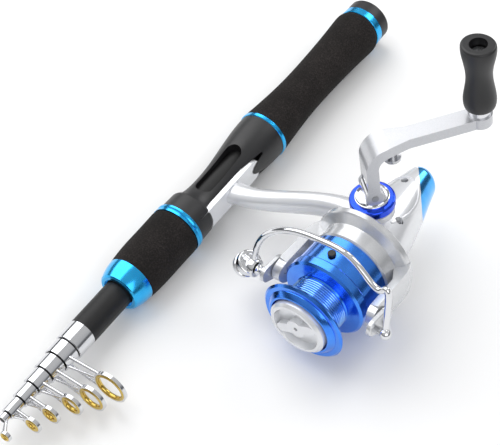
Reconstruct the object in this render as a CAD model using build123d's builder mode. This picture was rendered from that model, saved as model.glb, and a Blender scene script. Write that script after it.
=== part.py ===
"""Telescopic travel rod with a spinning reel, lying on its side, handle up.

Bench frame: the rod's axis is the Y axis, butt towards +Y, the butt's turned rim starting at y = 0.
+X runs from the rod to the reel and +Z along the crank. LAID rolls the bench about the rod's
axis by the angle at which the reel and the grip both touch a table.
Each reel piece is drawn about its own axis, crank at y = 0, and then set on the rod by ON_ROD.
"""

import os
from math import asin, atan2, cos, degrees, radians, sin

from build123d import *

os.makedirs("parts", exist_ok=True)

# General fits
RUN = 0.05  # radial running clearance of a shaft in its bore
SLIP = 0.3  # clearance between sliding tubes and loose covers
FLOOR_GAP = 0.2  # what a guide ring keeps off the table

# Rod stations, measured from the butt's rim towards the tip
BUTT_DOME = 1.6  # how far the rounded end stands out behind the rim
BUTT_CAP_L = 4.9
BUTT_RING_L = 4.0
REAR_GRIP_L = 84.2
SEAT_RING_L = 2.2
SEAT_BODY_L = 56.0
HOOD_L = 10.5
NUT_RING_L = 3.8
FORE_GRIP_L = 33.8
CONE_L = 9.5
BLANK_SHOW_L = 25.8
FERRULE_L = 10.2

BUTT_RING_S = BUTT_CAP_L
REAR_GRIP_S = BUTT_RING_S + BUTT_RING_L
SEAT_RING_S = REAR_GRIP_S + REAR_GRIP_L
SEAT_S = SEAT_RING_S + SEAT_RING_L
HOOD_S = SEAT_S + SEAT_BODY_L
NUT_RING_S = HOOD_S + HOOD_L
FORE_GRIP_S = NUT_RING_S + NUT_RING_L
CONE_S = FORE_GRIP_S + FORE_GRIP_L
FERRULE_S = CONE_S + CONE_L + BLANK_SHOW_L
STACK_S = FERRULE_S + FERRULE_L

# Rod radii
BUTT_R = 11.3
GRIP_BULGE_R = 12.0
GRIP_WAIST_R = 10.6
GRIP_FRONT_R = 12.7
SEAT_RING_R = 12.9
SEAT_REAR_R = 12.5
SEAT_WAIST_R = 8.9
HOOD_R = SEAT_REAR_R - 0.5
FORE_R = 13.0
FORE_FRONT_R = 12.1
CONE_FRONT_R = 10.2
BLANK_R = 6.9
BLANK_BORE_R = 6.0
FERRULE_WALL = 0.5
THREAD_R = 8.6
SEAT_FLAT_X = 7.7  # where the reel foot lies
SPIGOT_L = 12.0
SPIGOT_WALL = 1.6

# Telescopic sections, from the thickest to the tip
COLLAR_R = [6.3, 5.5, 4.7, 3.9, 3.05, 2.1]
TUBE_R = [5.7, 4.7, 3.8, 3.0, 2.25, 1.5]
TUBE_WALL = [0.7, 0.6, 0.5, 0.45, 0.45, 0.0]
COLLAR_L = 7.7
COLLAR_GAP = 0.6
TUBE_BACK_S = BUTT_CAP_L + SPIGOT_L + 3.0
GUIDE_REACH = [27.2, 23.6, 19.0, 14.1, 11.2, 5.7]  # rod axis to ring centre
GUIDE_RING_R = [8.6, 7.2, 5.8, 4.9, 4.3, 2.8]  # outside of the frame's hoop
GUIDE_DROP = [2.0, 6.0, 3.0, 11.0, 15.0, 30.0]  # how each ring hangs, in degrees
HOOP_W = 1.1
TIP_HOOP_W = 0.9
INSERT_W = 1.5
TIP_INSERT_W = 0.9
HOOP_T = 1.6
GUIDE_WIRE_R = 0.75
TIP_COLLAR_L = 3.0
TIP_AHEAD = 7.0

# Where the table lies and how far the reel rolls up from it
REST_H = FORE_R
REEL_V = 84.3  # rod axis to reel axis
REEL_TILT = 2.5  # the spool leans in towards the rod, in degrees
RIM_R = 24.8  # the rotor's rear rim, which rests on the table
ROLL = degrees(asin((RIM_R + FLOOR_GAP - REST_H) / REEL_V))

# Reel foot: it lies on the seat between the two hoods
FOOT_Y = -14.9  # foot's middle, from the crank along the reel
FOOT_L = SEAT_BODY_L - 8.0
FOOT_W = 11.5
FOOT_T = 2.6
FOOT_IN_HOOD = 8.3
HOOD_POCKET_L = 11.0  # how far the fixed hood laps the foot
FOOT_CENTRE_S = HOOD_S + FOOT_IN_HOOD - FOOT_L / 2
CRANK_S = FOOT_CENTRE_S + FOOT_Y

# Reel sizes, about the reel's own axis with the crank at y = 0
FLANGE_R = 21.0
FLANGE_Y = -60.7
SKIRT_R = 20.8
SKIRT_REAR_R = 19.9
SKIRT_FRONT_Y = -44.6
SKIRT_REAR_Y = -25.3
SKIRT_WALL = 1.4
ARBOR_R = 13.4
DRAG_CUP_R = 11.6
DRAG_FLOOR_Y = -51.4
KNOB_R = 14.3
KNOB_FRONT_Y = -65.8
STROKE = 3.0  # how far the spool runs forward
CUP_R = 20.0
CUP_FRONT_Y = SKIRT_REAR_Y + 0.6
RIM_Y = -11.0
RIM_L = 3.6
NECK_R = 16.6
NECK_FRONT_Y = -37.9
ROTOR_WALL = 1.8
SLEEVE_R = 3.2
SHAFT_R = 0.95
PINION_TEETH = 7
GEAR_TEETH = 36
MESH_R = 1.7  # pitch radius of the pinion
TOOTH_H = 0.35  # half of a tooth's height
TOOTH_W = 0.5
CRANK_X = -3.4  # the crank's axis passes the main shaft on the rod's side
JOURNAL_R = 1.6
DRIVE_R = 3.2
NOSE_R = 16.2
NOSE_Y = -18.0
BODY_Y = -10.3
TAIL_Y = 39.6
COVER_Z = 6.4
BOSS_R = 9.9
BOSS_Z = 19.0
COLLAR_Z = 22.6
BAIL_Y = -40.4
BAIL_X = 29.0
BAIL_REACH = 32.2
LEVER_UP = 15.0  # how far the bail's levers point up from straight ahead, in degrees
WIRE_UP = 104.0  # the same for the wire's plane
WIRE_R = 1.1
PIVOT_Z = 28.0
ARM_OUT = (32.4, 39.1)  # crank axis to knob axis, across and towards the butt
ARM_Z = 55.7
ARM_W = 13.5
ARM_T = 5.4
ARM_NECK_W = 8.6  # the arm's width past its bend
ARM_END_R = 5.4
ARM_DISH_W = 5.2  # the trough along the arm's top
FORK_L = 13.0
GRIP_KNOB_L = 35.0
GRIP_KNOB_R = 7.8
KNOB_OVALS = ((0.0, 0.86, 0.86), (0.1, 0.94, 0.94), (0.5, 0.74, 0.78), (0.86, 1.0, 0.92), (1.0, 1.0, 0.9))
KNOB_COLLAR_L = 4.4

LAID = Location((0, 0, 0), (0, -ROLL, 0))
ON_ROD = LAID * Location((REEL_V, -CRANK_S, 0), (0, 0, -REEL_TILT))
FROM_ROD = Location((REEL_V, -CRANK_S, 0), (0, 0, -REEL_TILT)).inverse()


def hand_in(block, name, place=LAID):
    """Sets a finished piece in place, names it and writes it."""
    piece = block.part.moved(place)
    piece.label = name
    export_step(piece, f"parts/{name}.step")


def ring(r_out, r_in, s, length, r_front=None):
    """A collar about the rod's axis from station s towards the tip, with eased edges."""
    front = r_front or r_out
    ease = min(0.35, (r_out - r_in) / 4, length / 4)
    with BuildPart() as made:
        with BuildSketch(Plane.XY):
            with BuildLine():
                Polyline(
                    (r_in, -s),
                    (r_out - ease, -s),
                    (r_out, -s - ease),
                    (front, -s - length + ease),
                    (front - ease, -s - length),
                    (r_in, -s - length),
                    close=True,
                )
            make_face()
        revolve(axis=Axis.Y)
    return made


# Butt cap: a turned plug with a spigot that closes the blank
with BuildPart() as butt_cap:
    with BuildSketch(Plane.XY):
        with BuildLine():
            spigot_r = BLANK_BORE_R - RUN
            Polyline((0, BUTT_DOME), (BUTT_R, BUTT_DOME), (BUTT_R, -BUTT_CAP_L), (spigot_r, -BUTT_CAP_L))
            Line((spigot_r, -BUTT_CAP_L), (spigot_r, -BUTT_CAP_L - SPIGOT_L))
            Line((spigot_r, -BUTT_CAP_L - SPIGOT_L), (spigot_r - SPIGOT_WALL, -BUTT_CAP_L - SPIGOT_L))
            Line((spigot_r - SPIGOT_WALL, -BUTT_CAP_L - SPIGOT_L), (spigot_r - SPIGOT_WALL, -BUTT_CAP_L))
            Polyline((spigot_r - SPIGOT_WALL, -BUTT_CAP_L), (0, -BUTT_CAP_L), (0, BUTT_DOME))
        make_face()
    revolve(axis=Axis.Y)
    fillet(butt_cap.edges().filter_by(GeomType.CIRCLE).sort_by(Axis.Y)[-1], 0.8 * BUTT_DOME)
hand_in(butt_cap, "butt_cap")

hand_in(ring(BUTT_R + 0.2, BLANK_R + RUN, BUTT_RING_S, BUTT_RING_L), "butt_ring")
hand_in(ring(SEAT_RING_R, BLANK_R + RUN, SEAT_RING_S, SEAT_RING_L), "seat_ring")

# Rear grip: a foam sleeve with a waist for the palm
with BuildPart() as rear_grip:
    with BuildSketch(Plane.XY):
        bore = BLANK_R + RUN
        rear_y, front_y = -REAR_GRIP_S, -SEAT_RING_S
        with BuildLine():
            Line((bore, rear_y), (BUTT_R - 0.6, rear_y))
            Spline(
                (BUTT_R - 0.6, rear_y),
                (GRIP_BULGE_R, rear_y - 0.09 * REAR_GRIP_L),
                (GRIP_WAIST_R, rear_y - 0.48 * REAR_GRIP_L),
                (GRIP_FRONT_R, front_y),
                tangents=[(1, -0.7), (0.1, -1)],
            )
            Polyline((GRIP_FRONT_R, front_y), (bore, front_y), (bore, rear_y))
        make_face()
    revolve(axis=Axis.Y)
hand_in(rear_grip, "rear_grip")

# Reel seat: a waisted tube with a fixed hood at the rear, windows on both sides,
# a flat for the foot and a plain tube in front that carries the nut
TUBE_END_S = CONE_S - 2.0
with BuildPart() as reel_seat:
    with BuildSketch(Plane.XY):
        bore = BLANK_R + RUN
        with BuildLine():
            Line((bore, -SEAT_S), (SEAT_REAR_R, -SEAT_S))
            Spline(
                (SEAT_REAR_R, -SEAT_S),
                (SEAT_REAR_R - 0.9, -SEAT_S - 0.26 * SEAT_BODY_L),
                (SEAT_WAIST_R + 0.4, -SEAT_S - 0.6 * SEAT_BODY_L),
                (SEAT_WAIST_R, -SEAT_S - 0.78 * SEAT_BODY_L),
                (HOOD_R - 1.4, -HOOD_S),
                tangents=[(0, -1), (0.4, -1)],
            )
            Polyline(
                (HOOD_R - 1.4, -HOOD_S),
                (THREAD_R, -HOOD_S),
                (THREAD_R, -TUBE_END_S),
                (bore, -TUBE_END_S),
                (bore, -SEAT_S),
            )
        make_face()
    revolve(axis=Axis.Y)
    hood_mouth_s = FOOT_CENTRE_S - FOOT_L / 2 + HOOD_POCKET_L
    flat_len = HOOD_S + HOOD_L - hood_mouth_s
    with BuildSketch(Plane.XZ.offset(hood_mouth_s)):
        with Locations((SEAT_FLAT_X + SEAT_REAR_R, 0)):
            Rectangle(2 * SEAT_REAR_R, 3 * SEAT_REAR_R)
    extrude(amount=flat_len, mode=Mode.SUBTRACT)
    with BuildSketch(Plane.XZ.offset(hood_mouth_s - HOOD_POCKET_L - 3.0)):
        with Locations((SEAT_FLAT_X + FOOT_T / 2 + SLIP / 2, 0)):
            Rectangle(FOOT_T + SLIP, FOOT_W + 2 * SLIP)
    extrude(amount=HOOD_POCKET_L + 3.0, mode=Mode.SUBTRACT)
    with BuildSketch(Plane.XY.offset(-2 * SEAT_REAR_R)):
        with Locations((0.6, -SEAT_S - 0.62 * SEAT_BODY_L)):
            SlotOverall(0.56 * SEAT_BODY_L, 8.4, rotation=90)
    extrude(amount=4 * SEAT_REAR_R, mode=Mode.SUBTRACT)
hand_in(reel_seat, "reel_seat")

# Sliding hood: keyed on the tube, its pocket holds the foot's front end
with BuildPart() as fore_hood:
    with BuildSketch(Plane.XY):
        with BuildLine():
            Polyline(
                (THREAD_R + RUN, -HOOD_S - SLIP),
                (HOOD_R - 0.5, -HOOD_S - SLIP),
                (HOOD_R, -HOOD_S - SLIP - 1.2),
                (HOOD_R + 0.3, -NUT_RING_S),
                (THREAD_R + RUN, -NUT_RING_S),
                close=True,
            )
        make_face()
    revolve(axis=Axis.Y)
    with BuildSketch(Plane.XZ.offset(HOOD_S)):
        with Locations((SEAT_FLAT_X + FOOT_T / 2 + SLIP / 2, 0)):
            Rectangle(FOOT_T + SLIP, FOOT_W + 2 * SLIP)
    extrude(amount=HOOD_L - 2.0, mode=Mode.SUBTRACT)
hand_in(fore_hood, "fore_hood")

# Nut: a threaded sleeve under the front grip, between two anodised rings
NUT_R = THREAD_R + RUN + 1.4
hand_in(ring(NUT_R - RUN, THREAD_R + RUN, NUT_RING_S + SLIP, CONE_S - NUT_RING_S - SLIP), "fore_nut")
with BuildPart() as nut_ring:
    with BuildSketch(Plane.XY):
        groove = 0.45
        third = NUT_RING_L / 3
        with BuildLine():
            Polyline(
                (NUT_R, -NUT_RING_S - SLIP),
                (FORE_R, -NUT_RING_S - SLIP),
                (FORE_R, -NUT_RING_S - third),
                (FORE_R - groove, -NUT_RING_S - 1.5 * third),
                (FORE_R, -NUT_RING_S - 2 * third),
                (FORE_R, -FORE_GRIP_S),
                (NUT_R, -FORE_GRIP_S),
                close=True,
            )
        make_face()
    revolve(axis=Axis.Y)
hand_in(nut_ring, "nut_ring")

with BuildPart() as fore_grip:
    with BuildSketch(Plane.XY):
        with BuildLine():
            Line((NUT_R, -FORE_GRIP_S), (FORE_R - 0.7, -FORE_GRIP_S))
            Spline(
                (FORE_R - 0.7, -FORE_GRIP_S),
                (FORE_R - 0.05, -FORE_GRIP_S - 0.08 * FORE_GRIP_L),
                (FORE_R - 0.15, -FORE_GRIP_S - 0.5 * FORE_GRIP_L),
                (FORE_FRONT_R, -CONE_S),
                tangents=[(1, -0.7), (-0.1, -1)],
            )
            Polyline((FORE_FRONT_R, -CONE_S), (NUT_R, -CONE_S), (NUT_R, -FORE_GRIP_S))
        make_face()
    revolve(axis=Axis.Y)
hand_in(fore_grip, "fore_grip")

# Front cone: a turned cup with a recess around the blank
with BuildPart() as front_cone:
    with BuildSketch(Plane.XY):
        recess_r = BLANK_R + 1.0
        with BuildLine():
            Line((BLANK_R + SLIP, -CONE_S), (FORE_FRONT_R, -CONE_S))
            Spline(
                (FORE_FRONT_R, -CONE_S),
                (FORE_FRONT_R - 0.4, -CONE_S - 0.4 * CONE_L),
                (CONE_FRONT_R, -CONE_S - 0.93 * CONE_L),
            )
            Polyline(
                (CONE_FRONT_R, -CONE_S - 0.93 * CONE_L),
                (CONE_FRONT_R - 0.8, -CONE_S - CONE_L),
                (recess_r, -CONE_S - CONE_L),
                (recess_r, -CONE_S - CONE_L + 1.5),
                (BLANK_R + SLIP, -CONE_S - CONE_L + 1.5),
                (BLANK_R + SLIP, -CONE_S),
            )
        make_face()
    revolve(axis=Axis.Y)
hand_in(front_cone, "front_cone")

# Butt section of the rod: a tube from the butt cap to the ferrule, turned down inside it
with BuildPart() as blank:
    with BuildSketch(Plane.XY):
        turned_r = BLANK_R - FERRULE_WALL
        with BuildLine():
            Polyline(
                (BLANK_BORE_R, -BUTT_CAP_L),
                (BLANK_R, -BUTT_CAP_L),
                (BLANK_R, -FERRULE_S),
                (turned_r, -FERRULE_S),
                (turned_r, -STACK_S + 1.0),
                (BLANK_BORE_R, -STACK_S + 1.0),
                close=True,
            )
        make_face()
    revolve(axis=Axis.Y)
hand_in(blank, "blank")

with BuildPart() as ferrule:
    with BuildSketch(Plane.XY):
        turned_r = BLANK_R - FERRULE_WALL
        with BuildLine():
            Polyline(
                (turned_r, -FERRULE_S),
                (BLANK_R, -FERRULE_S),
                (BLANK_R, -STACK_S + 0.3),
                (BLANK_R - 0.3, -STACK_S),
                (BLANK_BORE_R, -STACK_S),
                (BLANK_BORE_R, -STACK_S + 1.0),
                (turned_r, -STACK_S + 1.0),
                close=True,
            )
        make_face()
    revolve(axis=Axis.Y)
hand_in(ferrule, "ferrule")

# Telescopic sections: tube, collar with its guide frame, and the guide's gold insert
for i, collar_r in enumerate(COLLAR_R):
    n = i + 1
    tube_r = TUBE_R[i]
    start_s = STACK_S + COLLAR_GAP + i * (COLLAR_L + COLLAR_GAP)
    tip = n == len(COLLAR_R)
    collar_l = TIP_COLLAR_L if tip else COLLAR_L
    end_s = start_s + collar_l
    back_s = TUBE_BACK_S + i * 1.5
    with BuildPart() as tube:
        with BuildSketch(Plane.XZ.offset(back_s)):
            Circle(tube_r)
            if TUBE_WALL[i]:
                Circle(tube_r - TUBE_WALL[i], mode=Mode.SUBTRACT)
        extrude(amount=end_s - back_s)
    hand_in(tube, f"section_{n}", Location())

    reach = GUIDE_REACH[i]
    hoop_r = GUIDE_RING_R[i]
    hoop_w = TIP_HOOP_W if tip else HOOP_W
    insert_w = TIP_INSERT_W if tip else INSERT_W
    ring_s = start_s + TIP_AHEAD if tip else start_s + 0.55 * COLLAR_L
    place = Location((0, 0, 0), (0, GUIDE_DROP[i], 0))
    with BuildPart() as guide:
        with BuildSketch(Plane.XZ.offset(start_s)):
            Circle(collar_r)
            Circle(tube_r, mode=Mode.SUBTRACT)
        extrude(amount=collar_l)
        with BuildSketch(Plane(origin=(reach, -ring_s + HOOP_T / 2, 0), x_dir=(1, 0, 0), z_dir=(0, -1, 0))):
            Circle(hoop_r)
            Circle(hoop_r - hoop_w, mode=Mode.SUBTRACT)
        extrude(amount=HOOP_T)
        for side in (1, -1):
            foot_s = end_s - 1.2 if tip else start_s + 0.55 * COLLAR_L
            start = Vector((collar_r - 0.5) * 0.8, -foot_s, side * (collar_r - 0.5) * 0.55)
            spread = radians(38.0 if not tip else 62.0)
            mid_r = hoop_r - hoop_w / 2
            stop = Vector(reach - mid_r * cos(spread), -ring_s, side * mid_r * sin(spread))
            leg = stop - start
            with BuildSketch(Plane(origin=start, z_dir=leg)):
                Circle(GUIDE_WIRE_R if not tip else 0.55)
            extrude(amount=leg.length)
        if not tip:
            low = Vector(collar_r - 0.4, -end_s + 0.8, 0)
            high = Vector(reach - hoop_r + hoop_w / 2, -ring_s, 0)
            brace = high - low
            with BuildSketch(Plane(origin=low, z_dir=brace)):
                Circle(GUIDE_WIRE_R * 0.85)
            extrude(amount=brace.length)
        with BuildSketch(Plane.XZ.offset(start_s - 1.0)):
            Circle(tube_r)
        extrude(amount=collar_l + 1.0, mode=Mode.SUBTRACT)
    hand_in(guide, f"guide_{n}", place)

    with BuildPart() as insert:
        seat_r = hoop_r - hoop_w
        with BuildSketch(Plane.XY):
            with Locations((reach + seat_r - insert_w / 2, -ring_s)):
                Ellipse(insert_w / 2, HOOP_T * 0.62)
        revolve(axis=Axis((reach, 0, 0), (0, 1, 0)))
        with BuildSketch(Plane(origin=(reach, -ring_s + HOOP_T, 0), x_dir=(1, 0, 0), z_dir=(0, -1, 0))):
            Circle(hoop_r + 1.0)
            Circle(seat_r, mode=Mode.SUBTRACT)
        extrude(amount=2 * HOOP_T, mode=Mode.SUBTRACT)
    hand_in(insert, f"guide_insert_{n}", place)

# Main shaft with the slider block that moves it to and fro
SLIDER_Y = 15.0
with BuildPart() as main_shaft:
    with Locations((0, SLIDER_Y, -1.2)):
        Box(9.0, 4.5, 5.4)
    with BuildSketch(Plane.XZ.offset(-SLIDER_Y - 4.0)):
        Circle(SHAFT_R)
    extrude(amount=SLIDER_Y + 4.0 - KNOB_FRONT_Y - 3.0)
hand_in(main_shaft, "main_shaft", ON_ROD)

# Pinion: straight teeth behind, a sleeve in front that carries the rotor
MESH_Y = -MESH_R * GEAR_TEETH / PINION_TEETH  # where the gear's teeth cross the pinion
with BuildPart() as pinion:
    root_r = MESH_R - TOOTH_H
    with BuildSketch(Plane.XZ.offset(-MESH_Y - 1.8)):
        Circle(root_r)
        with PolarLocations(root_r, PINION_TEETH, start_angle=90):
            with Locations((TOOTH_H, 0)):
                Rectangle(2 * TOOTH_H + 0.4, TOOTH_W)
    extrude(amount=3.2)
    with BuildSketch(Plane.XZ.offset(-MESH_Y + 1.4)):
        Circle(SLEEVE_R)
    extrude(amount=-NECK_FRONT_Y + MESH_Y - 1.4 + 2.6)
    with BuildSketch(Plane.XZ.offset(-MESH_Y - 3.0)):
        Circle(SHAFT_R + RUN)
    extrude(amount=60.0, mode=Mode.SUBTRACT)
hand_in(pinion, "pinion", ON_ROD)

# Drive gear: face teeth that run along the pinion, a shaft up to the handle, a journal below
GEAR_R = (MESH_Y**2 + CRANK_X**2) ** 0.5 + 0.8
GEAR_Z = MESH_R + TOOTH_H + 0.35
with BuildPart() as drive_gear:
    with Locations((CRANK_X, 0, GEAR_Z)):
        Cylinder(GEAR_R, 2.2, align=(Align.CENTER, Align.CENTER, Align.MIN))
        Cylinder(DRIVE_R, BOSS_Z - GEAR_Z, align=(Align.CENTER, Align.CENTER, Align.MIN))
    with Locations((CRANK_X, 0, -9.4)):
        Cylinder(JOURNAL_R, GEAR_Z + 9.4, align=(Align.CENTER, Align.CENTER, Align.MIN))
    for k in range(GEAR_TEETH):
        turn = radians((k + 0.5) * 360.0 / GEAR_TEETH)
        tooth_x = CRANK_X - CRANK_X * cos(turn) - MESH_Y * sin(turn)
        tooth_y = -CRANK_X * sin(turn) + MESH_Y * cos(turn)
        low_z = MESH_R - TOOTH_H * 0.5
        with Locations(Location((tooth_x, tooth_y, low_z), (0, 0, degrees(turn)))):
            Box(TOOTH_W, 1.3, GEAR_Z - low_z + 0.3, align=(Align.CENTER, Align.CENTER, Align.MIN))
hand_in(drive_gear, "drive_gear", ON_ROD)


def bearing(r_out, r_in, width):
    """A shielded ball bearing, drawn as one ring with a groove between its races."""
    with BuildPart() as made:
        Cylinder(r_out, width)
        Cylinder(r_in, width, mode=Mode.SUBTRACT)
        mean = (r_out + r_in) / 2
        for end in (width / 2, -width / 2):
            with Locations((0, 0, end)):
                Torus(mean, 0.28 * (r_out - r_in) / 2, mode=Mode.SUBTRACT)
    return made


CRANK_AT = Location((CRANK_X, 0, 0))
BEARING_R = 5.6
STOP_R = 1.6
STOP_AT = Location((2.0, 8.0, -9.4), (0, 180, 0))
SCREW_R = 1.7
SCREW_Z = 8.0
SCREW_AT = ((9.0, 2.2), (-12.6, 9.4), (-3.0, 24.0))
hand_in(bearing(BEARING_R, DRIVE_R + RUN, 3.0), "crank_bearing", ON_ROD * CRANK_AT * Location((0, 0, 14.2)))
hand_in(bearing(4.2, JOURNAL_R + RUN, 2.4), "journal_bearing", ON_ROD * CRANK_AT * Location((0, 0, -8.6)))
NOSE_BEARING_Y = NOSE_Y + 1.4
hand_in(
    bearing(6.4, SLEEVE_R + RUN, 2.2),
    "rotor_bearing",
    ON_ROD * Location((0, NOSE_BEARING_Y - 0.3, 0), (90, 0, 0)),
)

# Housing blank: a teardrop lofted along the reel's axis, shared by body, cover and tail cap
TAIL_CUT = Plane(origin=(0, 31.2, 0), x_dir=(0, 0, 1), z_dir=(0.79, 0.61, 0))
with BuildPart() as housing:
    for y, shift, rx, rz in (
        (BODY_Y, 0.0, 16.8, 15.6),
        (3.6, -0.5, 15.0, 15.4),
        (19.6, -1.5, 11.5, 13.0),
        (TAIL_Y, -2.5, 6.5, 8.5),
    ):
        with BuildSketch(Plane(origin=(shift, y, 0), x_dir=(1, 0, 0), z_dir=(0, 1, 0))):
            Ellipse(rx, rz)
    loft()
    fillet(housing.edges().sort_by(Axis.Y)[-1], 5.0)

# Stem: a curved loft of ovals from the foot to the housing
STEM_PATH = ((-75.2, -14.9), (-66.0, -13.9), (-52.0, -8.4), (-36.0, -0.4), (-10.0, 3.0))
STEM_SIZE = ((13.0, 9.5), (10.5, 10.0), (9.8, 11.0), (10.4, 12.0), (14.0, 12.4))
with BuildPart() as stem:
    for k, (x, y) in enumerate(STEM_PATH):
        before = STEM_PATH[max(k - 1, 0)]
        after = STEM_PATH[min(k + 1, len(STEM_PATH) - 1)]
        along = Vector(after[0] - before[0], after[1] - before[1], 0)
        if k == 0:
            along = Vector(1, 0, 0)
        with BuildSketch(Plane(origin=(x, y, 0), x_dir=(0, 0, 1), z_dir=along)):
            Ellipse(STEM_SIZE[k][1] / 2, STEM_SIZE[k][0] / 2)
    loft()

with BuildPart() as reel_body:
    add(housing.part)
    with Locations((0, (NOSE_Y + BODY_Y) / 2, 0)):
        Cylinder(NOSE_R, BODY_Y - NOSE_Y + 1.0, rotation=(90, 0, 0))
    split(bisect_by=TAIL_CUT, keep=Keep.BOTTOM)
    split(bisect_by=Plane.XY.offset(COVER_Z), keep=Keep.BOTTOM)
    add(stem.part)
    foot_plane = Plane(FROM_ROD * Location((SEAT_FLAT_X, -CRANK_S + FOOT_Y, 0), (0, 90, 0)))
    with BuildSketch(foot_plane):
        SlotOverall(FOOT_L, FOOT_W, rotation=90)
    extrude(amount=FOOT_T)
    gear_room = GEAR_R + 0.4
    with Locations((CRANK_X, 0, -5.2)):
        Cylinder(gear_room, COVER_Z + 5.2, align=(Align.CENTER, Align.CENTER, Align.MIN), mode=Mode.SUBTRACT)
    with Locations((0, 12.0, -5.2)):
        Box(10.0, 18.0, COVER_Z + 5.2, align=(Align.CENTER, Align.CENTER, Align.MIN), mode=Mode.SUBTRACT)
    with Locations((CRANK_X, 0, -9.8)):
        Cylinder(4.2, 6.0, align=(Align.CENTER, Align.CENTER, Align.MIN), mode=Mode.SUBTRACT)
    with Locations((0, (NOSE_Y + MESH_Y) / 2 + 1.0, 0)):
        Cylinder(SLEEVE_R + SLIP, MESH_Y - NOSE_Y + 8.0, rotation=(90, 0, 0), mode=Mode.SUBTRACT)
    with Locations((0, NOSE_Y + 1.1, 0)):
        Cylinder(6.4, 2.2, rotation=(90, 0, 0), mode=Mode.SUBTRACT)
    with Locations(STOP_AT):
        Cylinder(STOP_R + RUN, 14.0, align=(Align.CENTER, Align.CENTER, Align.MIN), mode=Mode.SUBTRACT)
hand_in(reel_body, "reel_body", ON_ROD)

# Side cover: the rest of the housing above the parting plane, with a boss for the crank
with BuildPart() as side_cover:
    add(housing.part)
    split(bisect_by=TAIL_CUT, keep=Keep.BOTTOM)
    split(bisect_by=Plane.XY.offset(COVER_Z), keep=Keep.TOP)
    with Locations((CRANK_X, 0, COVER_Z)):
        Cylinder(BOSS_R, BOSS_Z - COVER_Z - 1.4, align=(Align.CENTER, Align.CENTER, Align.MIN))
        Cylinder(BOSS_R - 0.7, BOSS_Z - COVER_Z - 0.4, align=(Align.CENTER, Align.CENTER, Align.MIN))
    with Locations((CRANK_X, 0, COVER_Z - 1.0)):
        Cylinder(BEARING_R, 16.7 - COVER_Z, align=(Align.CENTER, Align.CENTER, Align.MIN), mode=Mode.SUBTRACT)
        Cylinder(DRIVE_R + 0.8, 20.0, align=(Align.CENTER, Align.CENTER, Align.MIN), mode=Mode.SUBTRACT)
    with Locations(*((x, y, SCREW_Z) for x, y in SCREW_AT)):
        Cylinder(SCREW_R, 12.0, align=(Align.CENTER, Align.CENTER, Align.MIN), mode=Mode.SUBTRACT)
hand_in(side_cover, "side_cover", ON_ROD)

# Cover screws, sunk in their holes, with a cross cut in each head
with BuildPart() as cover_screws:
    with Locations(*((x, y, SCREW_Z) for x, y in SCREW_AT)):
        Cylinder(SCREW_R, 1.2, align=(Align.CENTER, Align.CENTER, Align.MIN))
    with Locations(*((x, y, SCREW_Z + 1.2) for x, y in SCREW_AT)):
        Box(2.2, 0.5, 0.9, mode=Mode.SUBTRACT)
        Box(0.5, 2.2, 0.9, mode=Mode.SUBTRACT)
hand_in(cover_screws, "cover_screws", ON_ROD)

with BuildPart() as tail_cap:
    add(housing.part)
    split(bisect_by=TAIL_CUT, keep=Keep.TOP)
hand_in(tail_cap, "tail_cap", ON_ROD)

# Rotor: a cup with a neck under the spool's skirt, a rear rim and two arms
ARM_IN_X = 23.6
ARM_OUT_X = BAIL_X - 1.4
ARM_TIP_R = 6.0
ROTOR_ARM_ARC = 30.0  # width of an arm about the reel's axis, in degrees
with BuildPart() as rotor:
    cup_in = CUP_R - ROTOR_WALL
    neck_in = NECK_R - ROTOR_WALL
    with BuildSketch(Plane.XY):
        with BuildLine():
            Polyline(
                (SLEEVE_R, NECK_FRONT_Y),
                (NECK_R - 0.8, NECK_FRONT_Y),
                (NECK_R, NECK_FRONT_Y + 0.8),
                (NECK_R, CUP_FRONT_Y - 0.4),
                (CUP_R - 0.8, CUP_FRONT_Y),
                (CUP_R, CUP_FRONT_Y + 0.8),
                (CUP_R, RIM_Y - RIM_L - 2.2),
                (RIM_R - 0.6, RIM_Y - RIM_L),
                (RIM_R, RIM_Y - RIM_L + 0.6),
                (RIM_R, RIM_Y - 0.6),
                (RIM_R - 0.6, RIM_Y),
                (cup_in, RIM_Y),
                (cup_in, CUP_FRONT_Y + 3.2),
                (neck_in, CUP_FRONT_Y + 1.0),
                (neck_in, NECK_FRONT_Y + 2.6),
                (SLEEVE_R, NECK_FRONT_Y + 2.6),
                close=True,
            )
        make_face()
    revolve(axis=Axis.Y)
    for side in (1, -1):
        start = Plane.XY.rotated((0, side * ROTOR_ARM_ARC / 2, 0))
        with BuildSketch(start):
            with BuildLine():
                Polyline(
                    (side * ARM_OUT_X, BAIL_Y - ARM_TIP_R - 0.2),
                    (side * ARM_IN_X, BAIL_Y - ARM_TIP_R - 0.2),
                    (side * ARM_IN_X, CUP_FRONT_Y + 1.0),
                    (side * (CUP_R - 0.9), RIM_Y - RIM_L - 2.0),
                    (side * (CUP_R - 0.9), RIM_Y - 0.4),
                    (side * RIM_R, RIM_Y - 0.4),
                )
                Spline(
                    (side * RIM_R, RIM_Y - 0.4),
                    (side * (ARM_OUT_X - 0.6), RIM_Y - 5.5),
                    (side * ARM_OUT_X, CUP_FRONT_Y),
                    (side * ARM_OUT_X, BAIL_Y - ARM_TIP_R - 0.2),
                    tangents=[(side * 0.5, -1), (0, -1)],
                )
            make_face()
        revolve(axis=Axis.Y, revolution_arc=-side * ROTOR_ARM_ARC)
        with BuildSketch(Plane(origin=(0, BAIL_Y, 0), x_dir=(0, 1, 0), z_dir=(1, 0, 0))):
            with Locations((-ARM_TIP_R, 0)):
                Rectangle(2 * ARM_TIP_R, 5 * ARM_TIP_R)
            Circle(ARM_TIP_R, mode=Mode.SUBTRACT)
        extrude(amount=side * 60.0, mode=Mode.SUBTRACT)
        with BuildSketch(Plane(origin=(0, BAIL_Y, 0), x_dir=(0, 1, 0), z_dir=(1, 0, 0))):
            Circle(2.0 + RUN)
        extrude(amount=side * 60.0, mode=Mode.SUBTRACT)
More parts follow.
